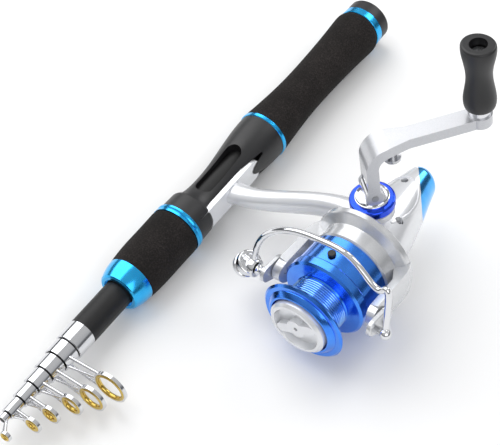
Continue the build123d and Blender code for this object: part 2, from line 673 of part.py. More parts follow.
hand_in(rotor, "rotor", ON_ROD)

# Rotor nut: a hexagon on the pinion's sleeve in front of the rotor
with BuildPart() as rotor_nut:
    with BuildSketch(Plane.XZ.offset(-NECK_FRONT_Y)):
        RegularPolygon(5.2, 6)
        Circle(SLEEVE_R, mode=Mode.SUBTRACT)
    extrude(amount=2.4)
hand_in(rotor_nut, "rotor_nut", ON_ROD)

# Spool: skirt, arbor, front flange and the drag cup, turned in one piece
with BuildPart() as spool:
    skirt_in = SKIRT_REAR_R - SKIRT_WALL
    with BuildSketch(Plane.XY):
        with BuildLine():
            Polyline(
                (SHAFT_R + RUN, DRAG_FLOOR_Y),
                (DRAG_CUP_R, DRAG_FLOOR_Y),
                (DRAG_CUP_R, FLANGE_Y + 1.6),
                (KNOB_R + 0.5, FLANGE_Y + 1.6),
                (KNOB_R + 0.9, FLANGE_Y),
                (FLANGE_R - 1.0, FLANGE_Y),
                (FLANGE_R, FLANGE_Y + 0.9),
                (FLANGE_R - 0.5, FLANGE_Y + 1.9),
                (ARBOR_R + 0.5, FLANGE_Y + 3.0),
                (ARBOR_R, FLANGE_Y + 3.6),
                (ARBOR_R, SKIRT_FRONT_Y - 2.0),
                (ARBOR_R + 0.5, SKIRT_FRONT_Y - 1.4),
                (SKIRT_R - 1.0, SKIRT_FRONT_Y - 0.6),
                (SKIRT_R, SKIRT_FRONT_Y + 0.4),
                (SKIRT_R, SKIRT_FRONT_Y + 4.2),
                (SKIRT_R - 0.6, SKIRT_FRONT_Y + 4.9),
                (SKIRT_REAR_R, SKIRT_REAR_Y),
                (skirt_in, SKIRT_REAR_Y),
                (skirt_in, SKIRT_FRONT_Y + 2.0),
                (7.0, SKIRT_FRONT_Y + 2.0),
                (7.0, SKIRT_FRONT_Y + 1.0),
                (SHAFT_R + RUN, SKIRT_FRONT_Y + 1.0),
                close=True,
            )
        make_face()
    revolve(axis=Axis.Y)
hand_in(spool, "spool", ON_ROD)

# Line clip: a small button set in the skirt
CLIP_Y = SKIRT_FRONT_Y + 9.0
with BuildPart() as line_clip:
    with Locations((0, CLIP_Y, SKIRT_R - 0.5)):
        Cylinder(1.9, 1.4, align=(Align.CENTER, Align.CENTER, Align.MIN))
    fillet(line_clip.edges().sort_by(Axis.Z)[-1], 0.4)
    with BuildSketch(Plane.XZ.offset(-CLIP_Y - 6.0)):
        Circle(SKIRT_R - 0.25)
    extrude(amount=12.0, mode=Mode.SUBTRACT)
hand_in(line_clip, "line_clip", ON_ROD)

# Drag stack: washers of two sizes, one on the other
WASHER_T = 1.1
with BuildPart() as drag_stack:
    for k in range(3):
        with BuildSketch(Plane.XZ.offset(-DRAG_FLOOR_Y + k * WASHER_T)):
            Circle(DRAG_CUP_R - SLIP - 1.2 * (k % 2))
            Circle(SHAFT_R + 0.3, mode=Mode.SUBTRACT)
        extrude(amount=WASHER_T)
hand_in(drag_stack, "drag_stack", ON_ROD)

# Drag knob: a cap with a finger grip raised in its recessed face
WASHER_END_Y = DRAG_FLOOR_Y - 3 * WASHER_T
with BuildPart() as drag_knob:
    with BuildSketch(Plane.XY):
        with BuildLine():
            Polyline(
                (SHAFT_R + RUN, WASHER_END_Y),
                (DRAG_CUP_R - 2.5, WASHER_END_Y),
                (DRAG_CUP_R - 0.5, WASHER_END_Y - 1.0),
                (DRAG_CUP_R - 0.5, FLANGE_Y + 1.2),
                (KNOB_R, FLANGE_Y + 1.2),
                (KNOB_R, KNOB_FRONT_Y + 1.2),
                (KNOB_R - 1.2, KNOB_FRONT_Y),
                (KNOB_R - 2.6, KNOB_FRONT_Y),
                (KNOB_R - 3.4, KNOB_FRONT_Y + 3.2),
                (SHAFT_R + RUN, KNOB_FRONT_Y + 3.2),
                close=True,
            )
        make_face()
    revolve(axis=Axis.Y)
    with BuildSketch(Plane.XZ.offset(-KNOB_FRONT_Y - 3.4)):
        SlotOverall(2 * KNOB_R - 5.6, 5.0, rotation=25)
        Circle(4.6)
        Circle(SHAFT_R + RUN, mode=Mode.SUBTRACT)
    extrude(amount=3.2)
hand_in(drag_knob, "drag_knob", ON_ROD)

# Bail: a lever on each rotor arm, the wire between them, and the line roller
LEVER_T = 2.2
ROLLER_T = 7.8  # pivot to roller, measured along the lever
BAIL_AT = Location((0, BAIL_Y, 0), (-LEVER_UP, 0, 0))
WIRE_AT = BAIL_AT * Location((0, -ROLLER_T, 0), (LEVER_UP - WIRE_UP, 0, 0))
LEVER_IN_X = BAIL_X - 1.0
for side, name in ((-1, "roller_lever"), (1, "wire_lever")):
    with BuildPart() as lever:
        with BuildSketch(Plane(origin=(side * LEVER_IN_X, 0, 0), x_dir=(0, 1, 0), z_dir=(side, 0, 0))):
            with BuildLine():
                Polyline((0, -1), (-ROLLER_T, -1), (-ROLLER_T, 1), (0, 1), close=True)
            make_face()
            Circle(5.4)
            with Locations((-ROLLER_T, 0)):
                Circle(4.0)
            make_hull()
        extrude(amount=LEVER_T)
        fillet(lever.edges().group_by(Axis.X)[-1 if side > 0 else 0], 0.7)
        with Locations(Location((side * (ARM_IN_X + 0.6), 0, 0), (0, side * 90, 0))):
            Cylinder(2.0, LEVER_IN_X - ARM_IN_X, align=(Align.CENTER, Align.CENTER, Align.MIN))
    hand_in(lever, name, ON_ROD * BAIL_AT)

ROLLER_X = LEVER_IN_X + LEVER_T
ROLLER_W = 3.6
CAP_R = 4.6
CAP_X = ROLLER_X + ROLLER_W + 2.4
with BuildPart() as roller_pin:
    with Locations(Location((-ROLLER_X, -ROLLER_T, 0), (0, -90, 0))):
        Cylinder(1.2, ROLLER_W + 2.0, align=(Align.CENTER, Align.CENTER, Align.MIN))
    with Locations((-CAP_X, -ROLLER_T, 0)):
        Sphere(CAP_R)
    with Locations(Location((-ROLLER_X - ROLLER_W - 0.4, -ROLLER_T, 0), (0, 90, 0))):
        Cylinder(2 * CAP_R, 12.0, align=(Align.CENTER, Align.CENTER, Align.MIN), mode=Mode.SUBTRACT)
    with Locations(Location((-ROLLER_X, -ROLLER_T, 0), (0, -90, 0))):
        Cylinder(1.2, ROLLER_W + 2.0, align=(Align.CENTER, Align.CENTER, Align.MIN))
hand_in(roller_pin, "roller_cap", ON_ROD * BAIL_AT)

with BuildPart() as roller:
    with BuildSketch(Plane.XY):
        near, far = -ROLLER_X - 0.1, -ROLLER_X - ROLLER_W + 0.1
        with BuildLine():
            l1 = Polyline((near, 1.25), (near, 2.9), (near - 0.5, 2.9))
            l2 = Spline(l1 @ 1, ((near + far) / 2, 2.2), (far + 0.5, 2.9))
            Polyline(l2 @ 1, (far, 2.9), (far, 1.25), (near, 1.25))
        make_face()
    revolve(axis=Axis.X)
hand_in(roller, "line_roller", ON_ROD * BAIL_AT * Location((0, -ROLLER_T, 0)))

HOOK_X = CAP_X - 0.7
with BuildPart() as bail_wire:
    with BuildLine() as wire_path:
        Spline(
            (-CAP_X, -2.0, 0),
            (-0.83 * CAP_X, -0.66 * BAIL_REACH, 0),
            (-0.44 * CAP_X, -0.93 * BAIL_REACH, 0),
            (0, -BAIL_REACH, 0),
            (0.44 * CAP_X, -0.93 * BAIL_REACH, 0),
            (0.83 * CAP_X, -0.66 * BAIL_REACH, 0),
            (HOOK_X, -1.0, 0),
            tangents=[(0, -1, 0), (0, 1, 0)],
        )
    with BuildSketch(Plane(origin=wire_path.line @ 0, z_dir=wire_path.line % 0)):
        Circle(WIRE_R)
    sweep()
    with Locations(Location((ROLLER_X, 0, 0), (0, 90, 0))):
        Cylinder(1.5, HOOK_X - ROLLER_X, align=(Align.CENTER, Align.CENTER, Align.MIN))
    with Locations((HOOK_X, 0, 0)):
        Sphere(2.4)
    with Locations((-CAP_X, 0, 0)):
        Sphere(CAP_R, mode=Mode.SUBTRACT)
hand_in(bail_wire, "bail_wire", ON_ROD * WIRE_AT)

# Handle: a collar and a hub block on the drive shaft, and a folding channel arm
hub_w = ARM_W - 3.2
OUT_TURN = degrees(atan2(ARM_OUT[1], ARM_OUT[0]))
THROW = (ARM_OUT[0] ** 2 + ARM_OUT[1] ** 2) ** 0.5
ARM_AT = Location((CRANK_X, 0, 0), (0, 0, OUT_TURN))
with BuildPart() as crank_collar:
    with Locations((0, 0, BOSS_Z)):
        Cylinder(BOSS_R + 0.6, COLLAR_Z - BOSS_Z, align=(Align.CENTER, Align.CENTER, Align.MIN))
    fillet(crank_collar.edges().sort_by(Axis.Z)[-1], 1.0)
    with Locations((0, 0, BOSS_Z)):
        Cylinder(4.4, 12.0, mode=Mode.SUBTRACT)
hand_in(crank_collar, "crank_collar", ON_ROD * ARM_AT)

with BuildPart() as handle_hub:
    with Locations((0, 0, BOSS_Z)):
        Cylinder(4.4, COLLAR_Z - BOSS_Z, align=(Align.CENTER, Align.CENTER, Align.MIN))
    with Locations((0, 0, (COLLAR_Z + PIVOT_Z) / 2)):
        Box(8.0, hub_w, PIVOT_Z - COLLAR_Z)
    with Locations((0, 0, PIVOT_Z)):
        Cylinder(4.0, hub_w, rotation=(90, 0, 0))
    with Locations((0, 0, PIVOT_Z)):
        Cylinder(1.6 + RUN, 2 * ARM_W, rotation=(90, 0, 0), mode=Mode.SUBTRACT)
hand_in(handle_hub, "handle_hub", ON_ROD * ARM_AT)

with BuildPart() as handle_arm:
    with BuildSketch(Plane.XZ) as arm_side:
        with BuildLine() as arm_line:
            spine = FilletPolyline(
                (0, PIVOT_Z), (0, ARM_Z - 2.5), (THROW, ARM_Z), radius=9.0
            )
            offset(spine, amount=ARM_T / 2, side=Side.BOTH)
        make_face()
    extrude(amount=ARM_W / 2, both=True)
    with BuildSketch(Plane.XZ):
        with BuildLine():
            inner = FilletPolyline(
                (0, PIVOT_Z), (0, ARM_Z - 2.5), (THROW, ARM_Z), radius=9.0
            )
            offset(inner, amount=ARM_T / 2 + 0.01, side=Side.LEFT)
        make_face()
    extrude(amount=ARM_DISH_W / 2, both=True, mode=Mode.SUBTRACT)
    with BuildSketch(Plane.XY):
        with BuildLine():
            Polyline(
                (-ARM_W, -ARM_W / 2),
                (0.5 * ARM_W, -ARM_W / 2),
                (1.3 * ARM_W, -ARM_NECK_W / 2),
                (THROW, -ARM_NECK_W / 2),
                (THROW, ARM_NECK_W / 2),
                (1.3 * ARM_W, ARM_NECK_W / 2),
                (0.5 * ARM_W, ARM_W / 2),
                (-ARM_W, ARM_W / 2),
                close=True,
            )
        make_face()
    extrude(amount=2 * ARM_Z, mode=Mode.INTERSECT)
    with Locations((0, 0, PIVOT_Z)):
        Cylinder(4.2, ARM_W, rotation=(90, 0, 0))
    with Locations((THROW, 0, ARM_Z - ARM_T / 2)):
        Cylinder(ARM_END_R, ARM_T, align=(Align.CENTER, Align.CENTER, Align.MIN))
    with Locations((0, 0, PIVOT_Z)):
        Box(3 * ARM_W, hub_w + 2 * RUN, FORK_L, mode=Mode.SUBTRACT)
    with Locations((0, 0, PIVOT_Z)):
        Cylinder(1.6, 2 * ARM_W, rotation=(90, 0, 0), mode=Mode.SUBTRACT)
    with Locations((THROW, 0, ARM_Z)):
        Cylinder(2.0, 4 * ARM_T, mode=Mode.SUBTRACT)
    with Locations((THROW, 0, ARM_Z - ARM_T / 2)):
        Cylinder(3.2, 2.0, align=(Align.CENTER, Align.CENTER, Align.MAX), mode=Mode.SUBTRACT)
hand_in(handle_arm, "handle_arm", ON_ROD * ARM_AT)

with BuildPart() as pivot_pin:
    with Locations((0, 0, PIVOT_Z)):
        Cylinder(1.6, ARM_W + 0.6, rotation=(90, 0, 0))
hand_in(pivot_pin, "arm_pivot", ON_ROD * ARM_AT)

# Knob on its pin, with a thrust collar under it and the pin's head in the top hole
KNOB_Z = ARM_Z + ARM_T / 2 + KNOB_COLLAR_L + 0.2
with BuildPart() as knob_pin:
    with Locations((0, 0, ARM_Z - ARM_T / 2 - 1.0)):
        Cylinder(3.2, 1.0, align=(Align.CENTER, Align.CENTER, Align.MIN))
        pin_l = KNOB_Z - ARM_Z + ARM_T / 2 + 1.0 + GRIP_KNOB_L - 6.0
        Cylinder(2.0, pin_l, align=(Align.CENTER, Align.CENTER, Align.MIN))
    with Locations((0, 0, KNOB_Z + GRIP_KNOB_L - 6.0)):
        Cylinder(3.4, 1.6, align=(Align.CENTER, Align.CENTER, Align.MIN))
hand_in(knob_pin, "knob_pin", ON_ROD * ARM_AT * Location((THROW, 0, 0)))
with BuildPart() as knob_collar:
    with Locations((0, 0, ARM_Z + ARM_T / 2)):
        Cylinder(4.6, KNOB_COLLAR_L, align=(Align.CENTER, Align.CENTER, Align.MIN))
        Cylinder(2.0, 4 * KNOB_COLLAR_L, mode=Mode.SUBTRACT)
hand_in(knob_collar, "knob_collar", ON_ROD * ARM_AT * Location((THROW, 0, 0)))
with BuildPart() as knob:
    for share, wide, deep in KNOB_OVALS:
        with BuildSketch(Plane.XY.offset(KNOB_Z + share * GRIP_KNOB_L)):
            Ellipse(wide * GRIP_KNOB_R, deep * GRIP_KNOB_R, rotation=-OUT_TURN)
    loft()
    fillet(knob.edges().group_by(Axis.Z)[-1], 1.2)
    fillet(knob.edges().group_by(Axis.Z)[0], 0.8)
    with Locations((0, 0, KNOB_Z)):
        Cylinder(2.0 + RUN, GRIP_KNOB_L, align=(Align.CENTER, Align.CENTER, Align.MIN), mode=Mode.SUBTRACT)
    with Locations((0, 0, KNOB_Z + GRIP_KNOB_L - 6.0)):
        Cylinder(4.0, 7.0, align=(Align.CENTER, Align.CENTER, Align.MIN), mode=Mode.SUBTRACT)
hand_in(knob, "knob", ON_ROD * ARM_AT * Location((THROW, 0, 0)))

# Anti-reverse lever: a tab on a short journal in the housing's lower side
with BuildPart() as stop_lever:
    with Locations((0, 0, 1.0)):
        Cylinder(STOP_R, 8.5, align=(Align.CENTER, Align.CENTER, Align.MIN))
    with BuildSketch(Plane.XY.offset(6.6)):
        SlotCenterToCenter(6.0, 4.6, rotation=90)
    extrude(amount=2.2)
    fillet(stop_lever.edges().group_by(Axis.Z)[-1], 0.4)
hand_in(stop_lever, "stop_lever", ON_ROD * STOP_AT)
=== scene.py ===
"""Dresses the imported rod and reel: finishes for every node, small pieces, stage and camera."""

from math import cos, radians, sin, tan, tau

import bmesh
import bpy
from mathutils import Matrix, Vector


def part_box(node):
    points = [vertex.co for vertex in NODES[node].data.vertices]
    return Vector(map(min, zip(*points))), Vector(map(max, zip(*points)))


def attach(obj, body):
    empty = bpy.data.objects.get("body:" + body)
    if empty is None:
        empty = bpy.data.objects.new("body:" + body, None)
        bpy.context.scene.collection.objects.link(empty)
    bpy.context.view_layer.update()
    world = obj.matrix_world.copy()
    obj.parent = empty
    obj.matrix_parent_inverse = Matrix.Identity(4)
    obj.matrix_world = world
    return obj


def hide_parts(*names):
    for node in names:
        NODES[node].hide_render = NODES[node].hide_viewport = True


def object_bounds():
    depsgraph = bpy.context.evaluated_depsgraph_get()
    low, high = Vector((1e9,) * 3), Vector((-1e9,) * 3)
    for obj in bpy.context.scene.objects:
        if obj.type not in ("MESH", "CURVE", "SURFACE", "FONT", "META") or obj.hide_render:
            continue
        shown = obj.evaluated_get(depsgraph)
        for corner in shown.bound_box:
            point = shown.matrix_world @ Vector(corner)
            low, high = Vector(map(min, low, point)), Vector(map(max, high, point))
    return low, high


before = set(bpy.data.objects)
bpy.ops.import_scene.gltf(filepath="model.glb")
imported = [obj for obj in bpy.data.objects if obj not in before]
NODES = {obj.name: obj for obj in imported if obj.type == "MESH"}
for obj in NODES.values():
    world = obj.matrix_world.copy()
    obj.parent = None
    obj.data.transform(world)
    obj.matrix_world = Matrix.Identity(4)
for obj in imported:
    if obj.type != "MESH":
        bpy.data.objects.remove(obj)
CAD_LOW, CAD_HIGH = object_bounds()

bl_info = {
    "name": "Travel Rod and Reel",
    "version": (1, 0, 0),
    "blender": (4, 5, 0),
    "location": "View3D > Sidebar > Rod",
    "description": "Finishes and small pieces for a telescopic rod with a spinning reel",
    "category": "Object",
}

MM = 0.001
IMAGE_W = 500  # pixels across the photograph
SENSOR_MM = 36.0
WAVE_PERIOD = tau / 20  # length after which a wave texture of scale 1 repeats

LEVEL = 0.9  # a face is level when its normal's Z is past this
DEAD_LEVEL = 0.99  # the same, leaving out a bevel's facets
UPRIGHT = 0.1  # a face is upright when its normal's Z is under this
MERGE = 0.001 * MM  # corners closer than this become one
SMOOTH_ANGLE = radians(35)  # edges flatter than this are shaded smooth

# The reel's own axes: Y along its main shaft, Z along its crank, both set on the rod
REEL_ROLL = radians(8.184)
REEL_TILT = radians(2.5)
REEL_OFF_ROD = 84.3 * MM
CRANK_STATION = 120.7 * MM
CRANK_X = -3.4  # in millimetres, as are the sizes of the handle and the screws
AT_REEL = (
    Matrix.Rotation(-REEL_ROLL, 4, "Y")
    @ Matrix.Translation((REEL_OFF_ROD, -CRANK_STATION, 0))
    @ Matrix.Rotation(-REEL_TILT, 4, "Z")
)
ALONG_Y = Matrix.Rotation(radians(90), 4, "X")  # lays a piece made about Z along Y

# The handle, about the crank's axis with X along its arm
ARM_TURN = radians(50.35)
AT_CRANK = AT_REEL @ Matrix.Translation((CRANK_X * MM, 0, 0)) @ Matrix.Rotation(ARM_TURN, 4, "Z")
COLLAR_TOP_Z = 22.6
PIVOT_Z = 28.0
ARM_Z = 55.7  # at the knob
ARM_THROW = 50.78
ARM_RISE = 2.5  # from the crank's axis to the knob
ARM_CLIMB = radians(2.82)
ARM_HALF_T = 2.7
ARM_BEND_R = 9.0  # of the arm's middle line
ARM_TROUGH_W = 5.2
TROUGH_ABOVE_PIVOT = 7.4
TROUGH_SHORT = 12.6  # what the bend and the knob's end take off the throw

# Screws: the bail's on its levers, the lock screw under the arm, three on the side cover
LEVER_FACE_X = 30.2
BAIL_PIVOT_Y = -40.4
BAIL_HEAD_H = 1.1
LOCK_OUT = 10.6  # lock screw's distance from the crank's axis
LOCK_Z = 45.2
LOCK_HEAD_H = 1.9
LOCK_SHANK = 6.0
LOCK_INSET = 0.45  # head's rim round the shank, as a share of the head's radius
COVER_SCREWS = ((9.0, 2.2), (-12.6, 9.4), (-3.0, 24.0))
COVER_SCREW_Z = 9.2
# Smaller than the screws' node, so that its painted-shade ring shows round each head
COVER_HEAD_R = 1.3
COVER_HEAD_H = 0.9

# A screw's head, as shares of its height or radius
HEAD_ROUND = 0.4  # of the height
SLOT_L = 1.25  # of the radius
SLOT_W = 0.32  # of the radius
SLOT_Z = 0.95  # of the height, to the slot's middle

# The stage, with its lengths in metres
TABLE_SIZE = 12.0
SKY_STRENGTH = 0.62
NEAREST_SEEN = 0.01


def linear(hex_colour):
    """An sRGB hex colour as linear RGBA."""
    parts = [int(hex_colour[i : i + 2], 16) / 255 for i in (1, 3, 5)]
    return tuple(c / 12.92 if c <= 0.04045 else ((c + 0.055) / 1.055) ** 2.4 for c in parts) + (1.0,)


def add_node(tree, kind, settings=None, links=None):
    """A shader node with its settings, its ramp's stops, and links from its inputs to other outputs."""
    made = tree.nodes.new(kind)
    for key, value in (settings or {}).items():
        if key == "stops":
            points = made.color_ramp.elements
            for index, (position, colour) in enumerate(value):
                point = points[index] if index < 2 else points.new(position)
                point.position = position
                point.color = linear(colour)
        elif isinstance(key, int) or key in made.inputs:
            made.inputs[key].default_value = value
        else:
            setattr(made, key, value)
    for key, source in (links or {}).items():
        tree.links.new(made.inputs[key], source)
    return made


def finish(name, settings):
    """A new material whose Principled shader has these values. Returns material, tree, shader."""
    material = bpy.data.materials.new(name)
    material.use_nodes = True
    shader = material.node_tree.nodes["Principled BSDF"]
    for key, value in settings.items():
        shader.inputs[key].default_value = value
    return material, material.node_tree, shader


def drive(tree, shader, **sources):
    """Links outputs to the shader's inputs; Base_Color stands for Base Color."""
    for key, source in sources.items():
        tree.links.new(shader.inputs[key.replace("_", " ")], source)


def rod_axes(tree):
    """The piece's own coordinates, in metres, with Y along the rod."""
    return add_node(tree, "ShaderNodeTexCoord").outputs["Object"]


def reel_axes(tree):
    """The same, turned so that Y runs along the reel's main shaft and passes through it."""
    coords = rod_axes(tree)
    for step in (
        {"Rotation": (0, REEL_ROLL, 0)},
        {"Location": (-REEL_OFF_ROD, CRANK_STATION, 0)},
        {"Rotation": (0, 0, REEL_TILT)},
    ):
        coords = add_node(tree, "ShaderNodeMapping", step, {"Vector": coords}).outputs["Vector"]
    return coords


# EVA foam, cut and sanded: dull black with a lighter bloom where the open cells catch the light.
# The cells are about 0.3 mm wide and are drawn at 0.7 mm, so that they show.
def eva_foam(colour):
    material, tree, shader = finish("eva_foam", {"Roughness": 0.88, "Specular IOR Level": 0.24})
    coords = rod_axes(tree)
    fine = {"Scale": 1 / (0.7 * MM), "Detail": 4.0, "Roughness": 0.65}
    cells = add_node(tree, "ShaderNodeTexNoise", fine, {"Vector": coords}).outputs["Fac"]
    cloud = add_node(tree, "ShaderNodeTexNoise", {"Scale": 1 / (14 * MM), "Detail": 2.0}, {"Vector": coords})
    both = {0: cloud.outputs["Fac"], 2: cells}
    mixed = add_node(tree, "ShaderNodeMath", {"operation": "MULTIPLY_ADD", 1: 0.3}, both)
    stops = ((0.42, "#0d0b0b"), (0.66, colour), (0.92, "#35302f"))
    tint = add_node(tree, "ShaderNodeValToRGB", {"stops": stops}, {"Fac": mixed.outputs["Value"]})
    pores = add_node(tree, "ShaderNodeBump", {"Strength": 0.5, "Distance": 0.22 * MM}, {"Height": cells})
    drive(tree, shader, Base_Color=tint.outputs["Color"], Normal=pores.outputs["Normal"])
    return material


# ABS, and the knob's hard rubber, moulded in a spark-eroded tool: satin, with a grit of about
# 0.15 mm drawn at 0.4 mm, a little shinier in patches where hands have rubbed it.
def moulded_abs(name, colour, roughness):
    material, tree, shader = finish(name, {"Base Color": linear(colour), "IOR": 1.53})
    coords = rod_axes(tree)
    grit = add_node(tree, "ShaderNodeTexNoise", {"Scale": 1 / (0.4 * MM), "Detail": 2.0}, {"Vector": coords})
    rubbed = add_node(tree, "ShaderNodeTexNoise", {"Scale": 1 / (9 * MM), "Detail": 3.0}, {"Vector": coords})
    limits = {"To Min": roughness - 0.08, "To Max": roughness + 0.08}
    polish = add_node(tree, "ShaderNodeMapRange", limits, {"Value": rubbed.outputs["Fac"]})
    rough = {"Strength": 0.2, "Distance": 0.05 * MM}
    relief = add_node(tree, "ShaderNodeBump", rough, {"Height": grit.outputs["Fac"]})
    drive(tree, shader, Roughness=polish.outputs["Result"], Normal=relief.outputs["Normal"])
    return material


# Aluminium, turned and dyed by anodising: a coloured metal with fine rings from the lathe.
# The tool's feed is about 0.1 mm and is drawn at 0.5 mm.
def anodised(name, colour, deep_colour, roughness, axes=rod_axes):
    material, tree, shader = finish(name, {"Metallic": 1.0, "Coat Weight": 0.35, "Coat Roughness": 0.06})
    coords = axes(tree)
    feed = {"wave_type": "BANDS", "bands_direction": "Y", "Distortion": 0.0}
    feed["Scale"] = WAVE_PERIOD / (0.5 * MM)
    rings = add_node(tree, "ShaderNodeTexWave", feed, {"Vector": coords}).outputs["Fac"]
    cloud = add_node(tree, "ShaderNodeTexNoise", {"Scale": 1 / (6 * MM), "Detail": 2.0}, {"Vector": coords})
    stops = ((0.3, deep_colour), (0.62, colour))
    dye = add_node(tree, "ShaderNodeValToRGB", {"stops": stops}, {"Fac": cloud.outputs["Fac"]})
    limits = {"To Min": roughness - 0.04, "To Max": roughness + 0.06}
    polish = add_node(tree, "ShaderNodeMapRange", limits, {"Value": rings})
    relief = add_node(tree, "ShaderNodeBump", {"Strength": 0.06, "Distance": 0.03 * MM}, {"Height": rings})
    drive(tree, shader, Base_Color=dye.outputs["Color"])
    drive(tree, shader, Roughness=polish.outputs["Result"], Normal=relief.outputs["Normal"])
    return material


# Glass-fibre tube, wound and sanded: a satin black with faint winding lines, 1.2 mm apart.
def wound_blank(colour):
    material, tree, shader = finish("wound_blank", {"Base Color": linear(colour), "Specular IOR Level": 0.4})
    coords = rod_axes(tree)
    lay = {"wave_type": "BANDS", "bands_direction": "Y", "Distortion": 0.4}
    lay["Scale"] = WAVE_PERIOD / (1.2 * MM)
    rings = add_node(tree, "ShaderNodeTexWave", lay, {"Vector": coords}).outputs["Fac"]
    grain = add_node(tree, "ShaderNodeTexNoise", {"Scale": 1 / (0.5 * MM), "Detail": 3.0}, {"Vector": coords})
    limits = {"To Min": 0.42, "To Max": 0.58}
    polish = add_node(tree, "ShaderNodeMapRange", limits, {"Value": grain.outputs["Fac"]})
    relief = add_node(tree, "ShaderNodeBump", {"Strength": 0.08, "Distance": 0.03 * MM}, {"Height": rings})
    drive(tree, shader, Roughness=polish.outputs["Result"], Normal=relief.outputs["Normal"])
    return material


# Plated, polished or machined metal: sharp highlights, dulled a little in patches by handling.
def polished(name, colour, roughness):
    material, tree, shader = finish(name, {"Base Color": linear(colour), "Metallic": 1.0})
    wear = {"Scale": 1 / (5 * MM), "Detail": 4.0}
    patches = add_node(tree, "ShaderNodeTexNoise", wear, {"Vector": rod_axes(tree)})
    limits = {"To Min": 0.6 * roughness, "To Max": 1.5 * roughness}
    polish = add_node(tree, "ShaderNodeMapRange", limits, {"Value": patches.outputs["Fac"]})
    drive(tree, shader, Roughness=polish.outputs["Result"])
    return material


# Silver paint sprayed over the castings, under clear coat: flake about 0.1 mm wide, drawn at 0.2 mm.
def flake_paint(name, colour, dark_colour, metallic, roughness):
    clear = {"Metallic": metallic, "Roughness": roughness, "Coat Weight": 0.6, "Coat Roughness": 0.04}
    material, tree, shader = finish(name, clear)
    size = {"feature": "F1", "Scale": 1 / (0.2 * MM)}
    flake = add_node(tree, "ShaderNodeTexVoronoi", size, {"Vector": rod_axes(tree)})
    sparkle = add_node(tree, "ShaderNodeSeparateColor", {}, {"Color": flake.outputs["Color"]})
    stops = ((0.0, dark_colour), (0.7, colour))
    tint = add_node(tree, "ShaderNodeValToRGB", {"stops": stops}, {"Fac": sparkle.outputs["Red"]})
    drive(tree, shader, Base_Color=tint.outputs["Color"])
    return material


# Oiled felt and steel washers of the drag: dull and fibrous.
def oiled_felt(colour):
    material, tree, shader = finish("oiled_felt", {"Base Color": linear(colour), "Roughness": 0.85})
    lay = {"Scale": 1 / (0.5 * MM), "Detail": 5.0}
    fibres = add_node(tree, "ShaderNodeTexNoise", lay, {"Vector": rod_axes(tree)})
    rough = {"Strength": 0.4, "Distance": 0.1 * MM}
    relief = add_node(tree, "ShaderNodeBump", rough, {"Height": fibres.outputs["Fac"]})
    drive(tree, shader, Normal=relief.outputs["Normal"])
    return material


class RodFinishes(bpy.types.PropertyGroup):
    """Colours that a user would change."""

    foam: bpy.props.StringProperty(name="Foam", description="Grip foam, sRGB hex", default="#1c1918")
    seat: bpy.props.StringProperty(name="Seat", description="Seat and hood plastic", default="#161618")
    ring_blue: bpy.props.StringProperty(name="Ring blue", description="Trim rings", default="#2fb4f2")
    spool_blue: bpy.props.StringProperty(name="Spool blue", description="Spool", default="#4690f6")
    collar_blue: bpy.props.StringProperty(
        name="Collar blue", description="Ring under the handle", default="#1d4be0"
    )
    blank: bpy.props.StringProperty(name="Blank", description="Rod tubes", default="#0d0d0e")
    pearl: bpy.props.StringProperty(name="Pearl", description="Housing paint", default="#e6e7ea")
    rotor: bpy.props.StringProperty(name="Rotor", description="Rotor paint", default="#dadbdd")


class RodView(bpy.types.PropertyGroup):
    """Camera of the photograph's view."""

    azimuth: bpy.props.FloatProperty(
        name="Azimuth", description="Turn about Z", default=radians(34.94), subtype="ANGLE"
    )
    elevation: bpy.props.FloatProperty(
        name="Elevation", description="Above the horizon", default=radians(52.24), subtype="ANGLE"
    )
    focal_px: bpy.props.FloatProperty(
        name="Focal length", description="In pixels of the image", default=1745.0
    )
    place: bpy.props.FloatVectorProperty(
        name="Place",
        description="Camera position",
        default=(0.3096, -0.5485, 0.6403),
        subtype="XYZ",
        unit="LENGTH",
    )


def paint(material, *names):
    """Gives CAD nodes this material alone."""
    for name in names:
        slots = NODES[name].data.materials
        slots.clear()
        slots.append(material)


def looks():
    """The colours set in the scene."""
    return bpy.context.scene.rod_finishes


def deselect():
    """Leaves no object selected."""
    bpy.ops.object.select_all(action="DESELECT")


def activate(piece):
    """Selects this piece alone and makes it the active one."""
    deselect()
    piece.select_set(True)
    bpy.context.view_layer.objects.active = piece


def select_faces(test):
    """In edit mode, selects the faces whose centre and normal pass the test."""
    data = bpy.context.edit_object.data
    mesh = bmesh.from_edit_mesh(data)
    bpy.ops.mesh.select_mode(type="FACE")
    bpy.ops.mesh.select_all(action="DESELECT")
    for face in mesh.faces:
        face.select_set(test(face.calc_center_median(), face.normal))
    bmesh.update_edit_mesh(data)


def select_corners(test):
    """In edit mode, selects the vertices whose place passes the test."""
    data = bpy.context.edit_object.data
    mesh = bmesh.from_edit_mesh(data)
    bpy.ops.mesh.select_mode(type="VERT")
    bpy.ops.mesh.select_all(action="DESELECT")
    for corner in mesh.verts:
        corner.select_set(test(corner.co))
    bmesh.update_edit_mesh(data)


def apply_modifier(piece, kind, settings):
    """Adds a modifier with these settings and applies it."""
    modifier = piece.modifiers.new(kind.lower(), kind)
    for key, value in settings.items():
        setattr(modifier, key, value)
    activate(piece)
    bpy.ops.object.modifier_apply(modifier=modifier.name)


def settle(piece, name, place, body, material):
    """Sets a finished piece in place, with its place in its mesh, and lets it ride on a body."""
    activate(piece)
    piece.matrix_world = place
    bpy.ops.object.transform_apply(location=True, rotation=True, scale=True)
    bpy.ops.object.shade_smooth_by_angle(angle=SMOOTH_ANGLE)
    piece.name = name
    piece.data.materials.clear()
    piece.data.materials.append(material)
    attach(piece, body)


def copy_of(piece):
    """A copy with its own mesh."""
    made = piece.copy()
    made.data = piece.data.copy()
    bpy.context.scene.collection.objects.link(made)
    return made


